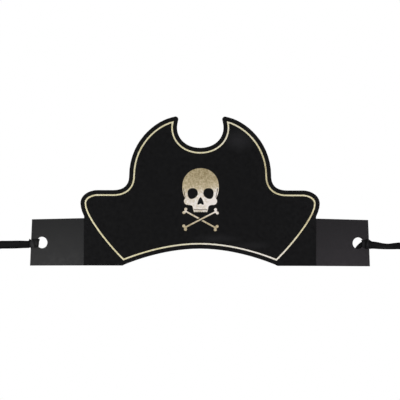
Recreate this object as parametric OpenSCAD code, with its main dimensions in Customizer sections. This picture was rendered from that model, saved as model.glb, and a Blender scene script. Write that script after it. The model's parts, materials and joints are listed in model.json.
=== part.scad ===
// Card pirate hat front with two creased flaps, hot-stamped gold foil and satin ribbon ties.
// The hat stands upright as it is worn: +X to the right seen from the front, the front faces -Y,
// +Z is up. The origin is on the back face of the card, midway between the flaps, level with
// the straight ends of the panel's lower edge.

/* [Card] */
// Thickness of the card
card_t = 0.5; // [0.4:0.05:0.8]
// Distance of each crease from the middle of the hat
crease_x = 102.6; // [102:0.1:108]
// Width left open between the panel and a flap along a crease
crease_gap = 0.3; // [0.2:0.05:0.6]
// Margin of bare card outside the middle of the border line
margin = 4.4; // [3.5:0.1:5]
// Radius of the rounded horn tips
horn_r = 2.4; // [1:0.1:3.4]

/* [Border line] */
// Half the width of the notch between the horns, at the horn corners
horn_x = 24.4; // [20:0.1:28]
// Height of the horn corners
horn_z = 126.8; // [122:0.1:132]
// Height of the bottom of the notch
notch_z = 99.8; // [94:0.1:106]
// Half the width of the crown at its widest
crown_x = 58.4; // [54:0.1:62]
// Height at which the crown is widest
crown_z = 79; // [76:0.1:84]
// Height of the straight top edge of the wings
wing_z = 62.3; // [60:0.1:66]
// Half the span of the wings
span_x = 101.35; // [98:0.05:101.5]
// Height at which the span is widest
span_z = 55; // [52:0.1:57]
// Half the distance between the two bottom corners
corner_x = 67.5; // [62:0.1:72]
// Height of the bottom corners
corner_z = 5.4; // [4.8:0.1:8]
// Height of the middle of the bottom arch
arch_z = 19.45; // [16:0.05:24]
// Width of the gold line
line_w = 1.5; // [0.8:0.1:2.4]
// Thickness of the foil
foil_t = 0.12; // [0.08:0.02:0.3]

/* [Emblem] */
// Sideways offset of the emblem from the middle of the hat
emblem_x = 0.4; // [-1:0.1:1]
// Height of the top of the skull
skull_z = 86.3; // [82:0.1:90]
// Height of the point where the bones cross
bones_z = 40.9; // [39:0.1:43]
// Angle to the horizontal of the bone that lies over the other
over_angle = 27.4; // [26:0.1:32]
// Angle to the horizontal of the bone that lies under
under_angle = 28.8; // [26:0.1:32]
// Length of a bone between its two knobs' centres
bone_len = 31.6; // [28:0.1:34]
// Width of a bone's shaft
bone_w = 1.5; // [1:0.1:2]
// Width of bare card left on each side of the upper bone
bone_gap = 0.75; // [0.4:0.05:1]

/* [Flaps] */
// Length of a flap from its crease to its end
flap_len = 50.5; // [44:0.1:56]
// Height of a flap at its crease
flap_h = 41.9; // [38:0.1:44]
// Height of the upper corner of a flap's end
flap_end_h = 40.6; // [37:0.1:43]
// How far the lower edge of a flap falls towards its end
flap_drop = 0.7; // [0:0.1:1.5]
// How much shorter the upper edge is than the lower edge
flap_slant = 1.8; // [0:0.1:3]
// Angle by which the flaps are folded back at rest
fold = 15; // [5:1:25]
// Diameter of the punched hole
hole_d = 10.2; // [9.4:0.1:10.6]
// Distance of the hole's centre from the end of the flap
hole_in = 11.3; // [10:0.1:11.4]
// Height of the hole's centre
hole_z = 20; // [19:0.1:21.6]

/* [Ribbon] */
// Width of the ribbon
ribbon_w = 7.2; // [5:0.1:7.6]
// Thickness of the free ribbon
ribbon_t = 0.8; // [0.6:0.1:1.2]
// Height of the ribbon where it is tied
tie_z = 18.6; // [18:0.1:20]
// Thickness of the turn of ribbon round the edge of the flap
loop_t = 0.6; // [0.4:0.05:0.8]
// Clearance between the ribbon and the card
loop_gap = 0.2; // [0.15:0.05:0.3]
// Height of the turn of ribbon
loop_h = 5.8; // [4:0.1:6]
// Length of the knot along the ribbon
knot_len = 3.4; // [3:0.1:5]
// Height of the knot
knot_h = 8.8; // [7.6:0.1:9.6]
// Thickness of the knot
knot_t = 2.8; // [2:0.1:4]

/* [Hidden] */

// Steps along each curve of an outline, and round each rounded corner
steps = 14;
corner_steps = 6;
// How far a cutting solid runs past the face it cuts
over = 1;
// The end of the turn of ribbon and of the knot, measured along the flap from its crease
loop_end = flap_len + loop_gap + loop_t;
knot_end = loop_end - 0.2;
// The front of the turn of ribbon, which the knot lies on
loop_front = -card_t - loop_gap - loop_t;

// The border line, right half, as curves from the bottom of the notch round to the middle of the
// arch. Each curve runs from its first point to its last; the two between steer it.
notch_curve = [[0, notch_z], [17, notch_z], [horn_x + 3, horn_z - 14], [horn_x, horn_z]];
crown_curve = [[horn_x, horn_z], [horn_x + 13.6, horn_z - 3.4], [crown_x, crown_z + 28], [crown_x, crown_z]];
shoulder_curve = [[crown_x, crown_z], [crown_x, crown_z - 7], [crown_x + 3.6, wing_z], [77, wing_z]];
wing_end_curve = [[91, wing_z], [94, wing_z], [span_x, span_z + 5.5], [span_x, span_z]];
wing_side_curve = [
    [span_x, span_z], [span_x, span_z - 12], [corner_x + 11.5, corner_z + 11.1], [corner_x, corner_z],
];
arch_curve = [[corner_x, corner_z], [corner_x - 7.5, corner_z + 2.9], [32, arch_z], [0, arch_z]];
// Where the arch runs out into the straight lower edge of the card
card_corner_x = corner_x + 1;

// The skull, right half, from the top of the cranium down to the teeth. x is from its middle line.
cranium_curve = [[0, skull_z], [9.4, skull_z], [16.2, skull_z - 7], [16.2, skull_z - 16.4]];
temple_curve = [[16.2, skull_z - 16.4], [16.2, skull_z - 20.5], [15.3, skull_z - 24], [13.6, skull_z - 26.9]];
cheek_curve = [[13.6, skull_z - 26.9], [15.5, skull_z - 28], [15, skull_z - 32.5], [11.6, skull_z - 32.6]];
upper_jaw_curve = [[11.6, skull_z - 32.6], [9.2, skull_z - 32.8], [7.2, skull_z - 32.7], [6.9, skull_z - 35]];
jaw_x = 6.2;
jaw_z = skull_z - 38.2;
teeth = 8;
tooth_drop = 0.9;
tooth_steps = 6;
// The right eye socket: four curves through its top, outer, bottom and inner points
socket_top = [6.9, skull_z - 17.8];
socket_outer = [11.4, skull_z - 22];
socket_bottom = [8.2, skull_z - 27.2];
socket_inner = [2.5, skull_z - 22];
// The nose, right half, from its top to the middle of its base
nose_curve = [[0, skull_z - 25.9], [1.3, skull_z - 26.1], [3.1, skull_z - 31.4], [2.6, skull_z - 32.1]];
nose_base_curve = [[2.6, skull_z - 32.1], [2.1, skull_z - 32.7], [0.9, skull_z - 31.5], [0, skull_z - 31.4]];
// The temple line, right half: a thin bare line just inside the side of the cranium
temple_line = [[13.5, skull_z - 25.9], [14.2, skull_z - 23.6], [14.7, skull_z - 21], [14.9, skull_z - 18]];
temple_line_w = 0.35;
// The slit above the teeth
slit_x = 5.9;
slit_z = skull_z - 36.8;
slit_h = 0.4;
// The knobs at a bone's ends: two round lobes on each, with a round web between them
lobe_r = 1.4;
lobe_apart = 3.4;
web_r = 1.3;

// The free ribbons: points [x, y, z] along each middle line from the knot, with x measured
// outwards from the middle of the hat. A ribbon runs out sideways, droops over in one bend and hangs.
right_route = [
    [152.6, 10.6, 18.4], [157.1, 12.1, 17.9], [161.2, 13.8, 17.3], [167.2, 15.7, 16.9],
    [173.2, 16.9, 17.2], [178.6, 17.6, 17.4], [183.7, 18.1, 16.1], [188.1, 18.5, 13.1],
    [191.3, 18.8, 9], [193.3, 19, 4], [194, 19.2, -2.5], [193.8, 19.6, -15.5], [193, 20.2, -32.5],
    [192, 21, -51.5], [191.2, 21.8, -71.5], [190.8, 22.4, -91.5], [191, 22.6, -111.5],
    [191.6, 22.4, -131.5], [192.2, 21.8, -151.5], [192.5, 21, -171.5], [192.4, 20.2, -190.5],
    [192, 19.6, -208.5],
];
left_route = [
    [152.6, 10.6, 18.3], [157.1, 12.1, 18.2], [161.2, 13.8, 18.1], [167.2, 15.7, 17.9],
    [173.2, 16.9, 17.8], [178.6, 17.6, 17.6], [183.4, 18.1, 16.1], [187.5, 18.6, 12.9],
    [190.4, 18.9, 8.6], [192.2, 19, 3.6], [192.8, 19.1, -3], [192.5, 18.8, -16], [191.8, 18.4, -33],
    [191.2, 18, -52], [191, 17.9, -72], [191.2, 18.2, -92], [191.7, 18.8, -112], [192.1, 19.6, -132],
    [192.2, 20.3, -152], [192, 20.8, -172], [191.6, 21, -191], [191.2, 21, -208],
];
// The turn of each ribbon's width about its middle line at those points, in degrees: 0 where its
// face is seen from the front, 90 where it is seen edge on
right_turn = [6, 22, 36, 43, 35, 29, 36, 52, 68, 80, 88, 92, 90, 84, 75, 65, 55, 46, 39, 34, 31, 30];
left_turn = [4, 2, 0, -2, 0, 4, 20, 42, 62, 77, 86, 92, 96, 100, 105, 111, 118, 125, 131, 136, 139, 140];

// Curves and outlines
function unit(v) = v / norm(v);
function bezier(c, t) =
    pow(1 - t, 3) * c[0] + 3 * pow(1 - t, 2) * t * c[1] + 3 * (1 - t) * t * t * c[2] + t * t * t * c[3];
function bezier_way(c, t) =
    unit(pow(1 - t, 2) * (c[1] - c[0]) + 2 * (1 - t) * t * (c[2] - c[1]) + t * t * (c[3] - c[2]));
function left_of(v) = [-v[1], v[0]];
function stretch(curve, out = 0, first = 0, last = steps) = [
    for (i = [first:last])
        let (t = i / steps)
        bezier(curve, t) + out * left_of(bezier_way(curve, t))
];
// The outer corner between two curves, out from their common point and rounded to radius r
function rounded_corner(from, to, out, r) =
    let (n0 = left_of(bezier_way(from, 1)))
    let (n1 = left_of(bezier_way(to, 0)))
    let (mid = from[3] + (out - r) * (n0 + n1) / (1 + n0 * n1))
    [for (i = [0:corner_steps]) mid + r * unit(n0 * (corner_steps - i) + n1 * i)];
// The sharp corner between two curves, on either side of the line
function sharp_corner(from, to, out) =
    let (n0 = left_of(bezier_way(from, 1)))
    let (n1 = left_of(bezier_way(to, 0)))
    [from[3] + out * (n0 + n1) / (1 + n0 * n1)];
function backwards(list) = [for (i = [len(list) - 1:-1:0]) list[i]];
function mirrored(half) = concat(half, [
    for (p = backwards(half))
        if (p[0] > 0.01) [-p[0], p[1]]
]);

// The border line moved outwards by out, or inwards where out is negative
function border_outline(out) = mirrored(concat(
    stretch(notch_curve, out, last = steps - 1),
    sharp_corner(notch_curve, crown_curve, out),
    stretch(crown_curve, out, first = 1),
    stretch(shoulder_curve, out, first = 1),
    stretch(wing_end_curve, out),
    stretch(wing_side_curve, out, first = 1, last = steps - 1),
    sharp_corner(wing_side_curve, arch_curve, out),
    stretch(arch_curve, out, first = 1)
));

function panel_outline() = mirrored(concat(
    stretch(notch_curve, margin),
    rounded_corner(notch_curve, crown_curve, margin, horn_r),
    stretch(crown_curve, margin),
    stretch(shoulder_curve, margin, first = 1),
    stretch(wing_end_curve, margin),
    [for (p = stretch(wing_side_curve, margin, first = 1)) if (p[1] > flap_h) p],
    [[crease_x - crease_gap / 2, flap_h]],
    [[crease_x - crease_gap / 2, 0]],
    [[card_corner_x, 0]],
    stretch(arch_curve, margin)
));

// Upright plates: a flat outline in X and Z, from y = back forwards by t
module plate(t, back = 0) {
    translate([0, -back, 0])
        rotate([90, 0, 0])
            linear_extrude(t)
                children();
}

// A piece of the foil stamping, on the front face of the card
module stamped() {
    plate(foil_t, card_t)
        children();
}

// A piece drawn for the right flap lying flat, with X measured from the crease, set at its fold
module on_right_flap() {
    translate([crease_x, 0, 0])
        rotate([0, 0, fold])
            children();
}

module on_left() {
    mirror([1, 0, 0])
        children();
}

// The middle of the card sheet
module front_panel() {
    color("#1b1b1c")
        plate(card_t)
            polygon(panel_outline());
}

module flap_shape() {
    difference() {
        plate(card_t)
            polygon([
                [crease_gap / 2, 0],
                [flap_len, -flap_drop],
                [flap_len - flap_slant, flap_end_h],
                [crease_gap / 2, flap_h],
            ]);
        translate([flap_len - hole_in, over, hole_z])
            rotate([90, 0, 0])
                cylinder(h = card_t + 2 * over, d = hole_d, $fn = 64);
    }
}

// The ends of the card sheet, beyond the creases
module right_flap() {
    color("#3a393b")
        on_right_flap()
            flap_shape();
}

module left_flap() {
    color("#3a393b")
        on_left()
            on_right_flap()
                flap_shape();
}

// The gold line, parallel to the edge of the card
module foil_border() {
    color("#d3c69e")
        stamped()
            difference() {
                polygon(border_outline(line_w / 2));
                polygon(border_outline(-line_w / 2));
            }
}

function socket_side(from, to, lean) = [from, from + lean[0], to + lean[1], to];

function socket_outline() = concat(
    stretch(socket_side(socket_top, socket_outer, [[2.9, 0], [0, 2.8]]), last = steps - 1),
    stretch(socket_side(socket_outer, socket_bottom, [[0, -2.9], [2, 0]]), last = steps - 1),
    stretch(socket_side(socket_bottom, socket_inner, [[-2.2, 0], [-0.2, -3]]), last = steps - 1),
    stretch(socket_side(socket_inner, socket_top, [[0.1, 2.6], [-2.6, 0]]), last = steps - 1)
);

function nose_outline() = mirrored(concat(
    stretch(nose_curve),
    stretch(nose_base_curve, first = 1)
));

// The lower edge of the teeth, right half, as a row of rounded scallops
function teeth_half() = [
    for (i = [teeth / 2 * tooth_steps:-1:0])
        let (along = i / tooth_steps)
        [jaw_x * along * 2 / teeth, jaw_z - tooth_drop * sqrt(abs(sin(180 * along)))]
];

function skull_outline() = mirrored(concat(
    stretch(cranium_curve),
    stretch(temple_curve, first = 1),
    stretch(cheek_curve, first = 1),
    stretch(upper_jaw_curve, first = 1),
    teeth_half()
));

function temple_outline() = concat(
    stretch(temple_line, temple_line_w / 2),
    backwards(stretch(temple_line, -temple_line_w / 2))
);

// The skull, with the bare card showing through its sockets, nose, temple lines and slit
module foil_skull() {
    color("#cdbf9f")
        translate([emblem_x, 0, 0])
            stamped()
                difference() {
                    polygon(skull_outline());
                    for (side = [0, 1])
                        mirror([side, 0]) {
                            polygon(socket_outline());
                            polygon(temple_outline());
                        }
                    polygon(nose_outline());
                    translate([-slit_x, slit_z - slit_h / 2])
                        square([2 * slit_x, slit_h]);
                }
}

module bone() {
    square([bone_len, bone_w], center = true);
    for (end = [-1, 1]) {
        translate([end * (bone_len / 2 - web_r / 2), 0])
            circle(web_r, $fn = 32);
        for (side = [-1, 1])
            translate([end * bone_len / 2, side * lobe_apart / 2])
                circle(lobe_r, $fn = 32);
    }
}

module at_bones() {
    translate([emblem_x, 0, 0])
        stamped()
            translate([0, bones_z])
                children();
}

// The bone that runs unbroken from the lower left to the upper right
module foil_bone_over() {
    color("#dfd6be")
        at_bones()
            rotate(over_angle)
                bone();
}

// The bone behind it, in two pieces
module foil_bone_under() {
    color("#dfd6be")
        at_bones()
            difference() {
                rotate(-under_angle)
                    bone();
                rotate(over_angle)
                    square([bone_len, bone_w + 2 * bone_gap], center = true);
            }
}

// The turn of ribbon through the hole and over the end edge of the flap: a flat ring round the
// strip of card between the hole and the edge
loop_low_x = flap_len - hole_in + 1.9;

module loop_shape() {
    long = loop_end - loop_low_x;
    deep = card_t + 2 * (loop_gap + loop_t);
    translate([loop_low_x, loop_front, tie_z - loop_h / 2])
        linear_extrude(loop_h)
            difference() {
                square([long, deep]);
                translate([loop_t, loop_t])
                    square([long - 2 * loop_t, deep - 2 * loop_t]);
            }
}

module right_tie_loop() {
    color("#2c2c2e")
        on_right_flap()
            loop_shape();
}

module left_tie_loop() {
    color("#2c2c2e")
        on_left()
            on_right_flap()
                loop_shape();
}

// A thin oval slice across the ribbon, used to shape the knot
slice_t = 0.1;

module knot_slice(x, w, h) {
    translate([x, loop_front - knot_t / 2, tie_z])
        rotate([90, 0, 90])
            linear_extrude(slice_t)
                polygon([for (a = [0:22.5:337.5]) [w / 2 * cos(a), h / 2 * sin(a)]]);
}

module knot_shape() {
    hull() {
        knot_slice(knot_end - knot_len, knot_t * 0.6, knot_h * 0.8);
        knot_slice(knot_end - knot_len * 0.7, knot_t, knot_h);
        knot_slice(knot_end - knot_len * 0.3, knot_t, knot_h);
        knot_slice(knot_end - slice_t, knot_t * 0.6, knot_h * 0.85);
    }
}

module right_tie_knot() {
    color("#151516")
        on_right_flap()
            knot_shape();
}

module left_tie_knot() {
    color("#151516")
        on_left()
            on_right_flap()
                knot_shape();
}

// The free ribbon: a flat eight-sided section swept along the route
function section() =
    let (w = ribbon_w / 2)
    let (t = ribbon_t / 2)
    [
        [w, -t / 2], [w, t / 2], [w - t, t], [t - w, t],
        [-w, t / 2], [-w, -t / 2], [t - w, -t], [w - t, -t],
    ];
function ring(route, turn, i) =
    let (along = unit(route[min(i + 1, len(route) - 1)] - route[max(i - 1, 0)]))
    let (up = unit(cross(along, [0, 1, 0])))
    let (across = cross(along, up))
    let (wide = up * cos(turn[i]) + across * sin(turn[i]))
    let (thick = cross(along, wide))
    [for (p = section()) route[i] + wide * p[0] + thick * p[1]];

module tail_shape(route, turn) {
    n = len(route);
    k = len(section());
    polyhedron(
        points = [for (i = [0:n - 1]) each ring(route, turn, i)],
        faces = concat(
            [[for (j = [0:k - 1]) j]],
            [for (i = [0:n - 2], j = [0:k - 1])
                let (here = i * k)
                let (next = here + k)
                let (beside = (j + 1) % k)
                each [[here + j, next + j, next + beside], [here + j, next + beside, here + beside]]],
            [[for (j = [k - 1:-1:0]) (n - 1) * k + j]]
        )
    );
}

module right_tie_tail() {
    color("#202022")
        tail_shape(right_route, right_turn);
}

module left_tie_tail() {
    color("#202022")
        on_left()
            tail_shape(left_route, left_turn);
}

front_panel();
left_flap();
right_flap();
foil_border();
foil_skull();
foil_bone_over();
foil_bone_under();
left_tie_loop();
right_tie_loop();
left_tie_knot();
right_tie_knot();
left_tie_tail();
right_tie_tail();
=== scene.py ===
"""The looks of the card pirate hat: black card, hot-stamped gold foil and satin ribbon ties."""

import json
import logging
import math
from collections.abc import Callable
from dataclasses import dataclass
from enum import Enum

import bmesh
import bpy
from mathutils import Matrix, Vector

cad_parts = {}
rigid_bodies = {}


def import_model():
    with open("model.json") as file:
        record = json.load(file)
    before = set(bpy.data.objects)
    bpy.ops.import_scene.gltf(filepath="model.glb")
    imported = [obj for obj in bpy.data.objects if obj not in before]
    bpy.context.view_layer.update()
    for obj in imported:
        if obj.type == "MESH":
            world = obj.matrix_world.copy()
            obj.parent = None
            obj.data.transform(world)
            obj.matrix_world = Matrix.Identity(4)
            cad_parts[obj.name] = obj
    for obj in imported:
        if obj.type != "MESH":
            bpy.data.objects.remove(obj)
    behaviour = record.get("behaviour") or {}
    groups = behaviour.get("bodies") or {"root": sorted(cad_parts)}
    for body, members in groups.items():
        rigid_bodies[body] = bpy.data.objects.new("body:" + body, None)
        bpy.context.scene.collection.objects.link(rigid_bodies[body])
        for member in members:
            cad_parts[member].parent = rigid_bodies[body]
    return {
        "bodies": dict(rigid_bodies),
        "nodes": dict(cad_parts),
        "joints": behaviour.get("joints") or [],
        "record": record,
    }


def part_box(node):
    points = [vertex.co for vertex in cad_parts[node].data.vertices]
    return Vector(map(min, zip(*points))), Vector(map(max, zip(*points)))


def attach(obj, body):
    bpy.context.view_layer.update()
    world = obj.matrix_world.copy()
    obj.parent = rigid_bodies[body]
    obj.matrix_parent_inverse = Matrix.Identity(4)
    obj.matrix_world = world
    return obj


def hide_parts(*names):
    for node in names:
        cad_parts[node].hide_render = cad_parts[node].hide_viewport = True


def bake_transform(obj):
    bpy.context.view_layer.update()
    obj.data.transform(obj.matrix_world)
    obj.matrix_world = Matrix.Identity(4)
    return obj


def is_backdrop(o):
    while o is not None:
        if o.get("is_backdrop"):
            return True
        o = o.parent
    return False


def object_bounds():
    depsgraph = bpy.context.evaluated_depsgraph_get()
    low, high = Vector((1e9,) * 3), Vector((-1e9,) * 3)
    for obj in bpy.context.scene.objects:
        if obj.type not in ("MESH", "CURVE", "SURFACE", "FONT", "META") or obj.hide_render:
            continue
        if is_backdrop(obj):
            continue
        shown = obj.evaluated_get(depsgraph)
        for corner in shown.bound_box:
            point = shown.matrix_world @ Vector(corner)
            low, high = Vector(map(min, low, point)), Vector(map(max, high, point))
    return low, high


LOG = logging.getLogger("pirate_hat")
MM = 0.001
MERGE = 0.001 * MM
Colour = tuple[float, float, float]
Numbers = tuple[float, ...]


class Side(Enum):
    """An end of the hat, seen from the front, and the direction in which it lies along X."""

    LEFT = -1
    RIGHT = 1

    @property
    def word(self) -> str:
        """The side's name as the nodes and bodies use it."""
        return self.name.lower()


# Small helpers


def through(points: list[Vector], share: float) -> Vector:
    """Finds a place on the smooth curve through some points.

    Args:
        points: The points, in order.
        share: How far along to go, from 0 at the first point to 1 at the last.

    Returns:
        The point on the curve.
    """
    spans = len(points) - 1
    i = min(int(share * spans), spans - 1)
    t = share * spans - i
    here, after = points[i], points[i + 1]
    before = points[i - 1] if i > 0 else 2 * here - after
    beyond = points[i + 2] if i + 2 <= spans else 2 * after - here
    return 0.5 * (
        2 * here
        + (after - before) * t
        + (2 * before - 5 * here + 4 * after - beyond) * t**2
        + (3 * here - before - 3 * after + beyond) * t**3
    )


def mesh_piece(name: str, bm: bmesh.types.BMesh, smooth: bool = True) -> bpy.types.Object:
    """Turns a finished bmesh into a named object at the origin.

    Args:
        name: The piece's name.
        bm: Its mesh, which is freed.
        smooth: Whether its faces are shaded smooth.

    Returns:
        The new object.
    """
    mesh = bpy.data.meshes.new(name)
    for face in bm.faces:
        face.smooth = smooth
    bm.to_mesh(mesh)
    bm.free()
    piece = bpy.data.objects.new(name, mesh)
    bpy.context.scene.collection.objects.link(piece)
    return piece


class NodeSheet:
    """Adds the nodes of one material, world or node group and joins them up."""

    def __init__(self, tree: bpy.types.NodeTree) -> None:
        """Starts on an empty node tree.

        Args:
            tree: The node tree, which is emptied.
        """
        self.tree = tree
        tree.nodes.clear()

    def add(self, kind: str, inputs: dict | None = None, **settings: object) -> bpy.types.Node:
        """Adds one node.

        Args:
            kind: The node's type name.
            inputs: What each input takes, a value or another node's output.
            settings: The node's own settings.

        Returns:
            The new node.
        """
        node = self.tree.nodes.new(kind)
        for name, value in settings.items():
            setattr(node, name, value)
        for name, value in (inputs or {}).items():
            if isinstance(value, bpy.types.NodeSocket):
                self.tree.links.new(value, node.inputs[name])
            else:
                node.inputs[name].default_value = value
        return node

    def maths(self, operation: str, *values: object) -> bpy.types.NodeSocket:
        """Adds a sum on two or three values or outputs and returns its result."""
        return self.add("ShaderNodeMath", dict(enumerate(values)), operation=operation).outputs[0]

    def spread(self, value: bpy.types.NodeSocket, ends: Numbers) -> bpy.types.NodeSocket:
        """Carries a value from its own range to another.

        Args:
            value: The output to carry over.
            ends: The low and high end that it comes in with, then those that it leaves with.

        Returns:
            The new value, held between its ends.
        """
        names = ("From Min", "From Max", "To Min", "To Max")
        node = self.add("ShaderNodeMapRange", dict(zip(names, ends)))
        self.tree.links.new(value, node.inputs["Value"])
        return node.outputs["Result"]

    def tint(
        self, share: bpy.types.NodeSocket, low: Colour, high: Colour
    ) -> bpy.types.NodeSocket:
        """Mixes two colours.

        Args:
            share: The share of the second colour.
            low: The first colour.
            high: The second colour.

        Returns:
            The mixed colour.
        """
        node = self.add(
            "ShaderNodeMix", {"Factor": share, "A": (*low, 1), "B": (*high, 1)}, data_type="RGBA"
        )
        return node.outputs["Result"]

    def finish(self, inputs: dict) -> None:
        """Ends a material with one Principled shader that takes these inputs."""
        shader = self.add("ShaderNodeBsdfPrincipled", inputs)
        self.add("ShaderNodeOutputMaterial", {"Surface": shader.outputs["BSDF"]})


def new_material(name: str) -> tuple[bpy.types.Material, NodeSheet]:
    """Starts a material made of nodes and returns it with its sheet."""
    material = bpy.data.materials.new(name)
    material.use_nodes = True
    return material, NodeSheet(material.node_tree)


def new_group(
    name: str, takes: dict[str, tuple[str, object]], gives: tuple[str, ...]
) -> tuple[bpy.types.NodeTree, NodeSheet, bpy.types.Node]:
    """Starts a shader node group with named sockets.

    Args:
        name: The group's name.
        takes: Each input's name, with its socket type and its usual value.
        gives: The names of its outputs, which are numbers.

    Returns:
        The group, the sheet that adds its nodes, and its input node.
    """
    tree = bpy.data.node_groups.new(name, "ShaderNodeTree")
    sheet = NodeSheet(tree)
    for socket, (kind, usual) in takes.items():
        made = tree.interface.new_socket(socket, in_out="INPUT", socket_type=kind)
        if usual is not None:
            made.default_value = usual
    for socket in gives:
        tree.interface.new_socket(socket, in_out="OUTPUT", socket_type="NodeSocketFloat")
    return tree, sheet, sheet.add("NodeGroupInput")


def grain_group() -> bpy.types.NodeTree:
    """Makes the grain effect: a coarse mottle and a fine tooth, as two heights from 0 to 1."""
    low, high = 0.28, 0.72  # the part of the noise that carries nearly all of it
    takes = {
        "Vector": ("NodeSocketVector", None),
        "Coarse Size": ("NodeSocketFloat", 2.0),
        "Fine Size": ("NodeSocketFloat", 0.2),
    }
    tree, sheet, given = new_group("grain", takes, ("Coarse", "Fine"))
    outputs = {}
    for name, detail in (("Coarse", 3.0), ("Fine", 5.0)):
        scale = sheet.maths("DIVIDE", 1 / MM, given.outputs[f"{name} Size"])
        pattern = sheet.add(
            "ShaderNodeTexNoise",
            {"Vector": given.outputs["Vector"], "Scale": scale, "Detail": detail},
        )
        outputs[name] = sheet.spread(pattern.outputs["Fac"], (low, high, 0.0, 1.0))
    sheet.add("NodeGroupOutput", outputs)
    return tree


def scuff_group() -> bpy.types.NodeTree:
    """Makes the handling marks: a few long fine scratches, as a height from 0 to 1."""
    stretch = (0.06, 1.0, 1.0)  # along each scratch, and across it
    line_width = 0.004  # of the noise's range
    patch_size = 35.0  # millimetres
    patch_edge = (0.5, 0.62)  # of the noise's range
    takes = {
        "Vector": ("NodeSocketVector", None),
        "Spacing": ("NodeSocketFloat", 20.0),
        "Angle": ("NodeSocketVector", (0.0, 0.0, 0.0)),
    }
    tree, sheet, given = new_group("scuff", takes, ("Scratch",))
    turned = sheet.add(
        "ShaderNodeMapping",
        {
            "Vector": given.outputs["Vector"],
            "Rotation": given.outputs["Angle"],
            "Scale": stretch,
        },
    )
    scale = sheet.maths("DIVIDE", 1 / MM, given.outputs["Spacing"])
    pattern = sheet.add(
        "ShaderNodeTexNoise",
        {"Vector": turned.outputs["Vector"], "Scale": scale, "Detail": 2.0, "Distortion": 0.3},
    )
    middle = sheet.maths("ABSOLUTE", sheet.maths("SUBTRACT", pattern.outputs["Fac"], 0.5))
    line = sheet.spread(middle, (0.0, line_width, 1.0, 0.0))
    patches = sheet.add(
        "ShaderNodeTexNoise",
        {"Vector": given.outputs["Vector"], "Scale": 1 / (patch_size * MM), "Detail": 1.0},
    )
    here = sheet.spread(patches.outputs["Fac"], (*patch_edge, 0.0, 1.0))
    sheet.add("NodeGroupOutput", {"Scratch": sheet.maths("MULTIPLY", line, here)})
    return tree


def glow_group() -> bpy.types.NodeTree:
    """Makes the painted glow: a soft oval area of painted light, as a value that falls to 0 at its
    rim.
    """
    takes = {
        "Vector": ("NodeSocketVector", None),
        "Middle": ("NodeSocketVector", (0.0, 0.0, 0.0)),
        "Size": ("NodeSocketVector", (1.0, 1.0, 1.0)),
        "Gain": ("NodeSocketFloat", 1.0),
    }
    tree, sheet, given = new_group("glow", takes, ("Value",))
    oval = sheet.add(
        "ShaderNodeMapping",
        {
            "Vector": given.outputs["Vector"],
            "Location": given.outputs["Middle"],
            "Scale": given.outputs["Size"],
        },
        vector_type="TEXTURE",
    )
    away = sheet.add(
        "ShaderNodeVectorMath", {0: oval.outputs["Vector"]}, operation="LENGTH"
    ).outputs["Value"]
    near = sheet.add(
        "ShaderNodeMapRange",
        {"Value": away, "To Min": given.outputs["Gain"], "To Max": 0.0},
        interpolation_type="SMOOTHSTEP",
    )
    sheet.add("NodeGroupOutput", {"Value": near.outputs["Result"]})
    return tree


@dataclass(frozen=True)
class Effects:
    """The node groups that the finishes share."""

    grain: bpy.types.NodeTree
    scuff: bpy.types.NodeTree
    glow: bpy.types.NodeTree


# Finishes

GRAIN_SIZES = ("Coarse Size", "Fine Size")


@dataclass(frozen=True)
class Glow:
    """A soft oval area of painted light on a surface: a painted highlight where its gain is above
    0, painted shade where it is below.
    """

    x: float
    z: float
    wide: float
    high: float
    """Its half width and half height, in millimetres like its middle."""
    gain: float
    """What it adds to the tone at its middle."""

    def add(
        self, sheet: NodeSheet, glow: bpy.types.NodeTree, tone: bpy.types.NodeSocket | float
    ) -> bpy.types.NodeSocket:
        """Adds the area's painted light to a tone.

        Args:
            sheet: The material's sheet.
            glow: The glow group.
            tone: The tone so far.

        Returns:
            The new tone.
        """
        node = sheet.add(
            "ShaderNodeGroup",
            {
                "Vector": sheet.add("ShaderNodeTexCoord").outputs["Object"],
                "Middle": (self.x * MM, 0.0, self.z * MM),
                "Size": (self.wide * MM, 1.0, self.high * MM),
                "Gain": self.gain,
            },
            node_tree=glow,
        )
        return sheet.maths("ADD", tone, node.outputs["Value"])


def lighten(
    sheet: NodeSheet,
    glow: bpy.types.NodeTree,
    base: bpy.types.NodeSocket,
    pale: Colour,
    areas: tuple[Glow, ...],
) -> bpy.types.NodeSocket:
    """Mixes a paler colour into a base colour in some soft areas, as painted light.

    Args:
        sheet: The material's sheet.
        glow: The glow group.
        base: The base colour.
        pale: The colour of the painted light.
        areas: The areas, whose gains are the shares of the paler colour.

    Returns:
        The mixed colour.
    """
    share = 0.0
    for area in areas:
        share = area.add(sheet, glow, share)
    node = sheet.add(
        "ShaderNodeMix", {"Factor": share, "A": base, "B": (*pale, 1)}, data_type="RGBA"
    )
    return node.outputs["Result"]


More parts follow.
